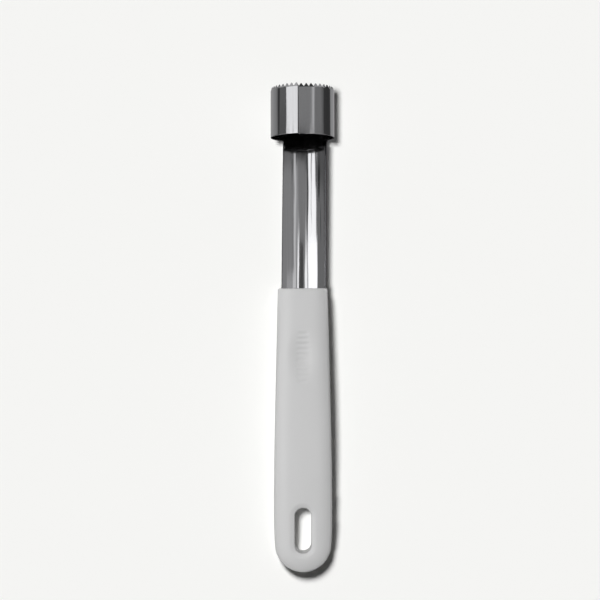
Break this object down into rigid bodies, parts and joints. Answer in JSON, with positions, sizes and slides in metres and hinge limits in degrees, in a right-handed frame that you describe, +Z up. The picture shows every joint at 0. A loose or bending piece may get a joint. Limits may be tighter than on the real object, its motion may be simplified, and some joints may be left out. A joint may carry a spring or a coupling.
{
  "type": "apple corer",
  "caption": "Hand apple corer with a serrated sheet-metal ring on a half-round trough and a rounded plastic handle with a thumb rest and a hang slot.",
  "frame": {"origin": "bottom centre of the bounding box, on the surface that the handle's back lies on", "axes": "+Y along the blade towards the teeth, +Z up out of the open side of the trough, +X to the right"},
  "size_m": [0.0288, 0.2214, 0.0308],
  "materials": {
    "polished_steel": "bright rolled and polished stainless sheet",
    "satin_plastic": "light grey satin injection moulding"
  },
  "bodies": {
    "root": {"blade": "polished_steel", "handle": "satin_plastic"}
  },
  "joints": []
}
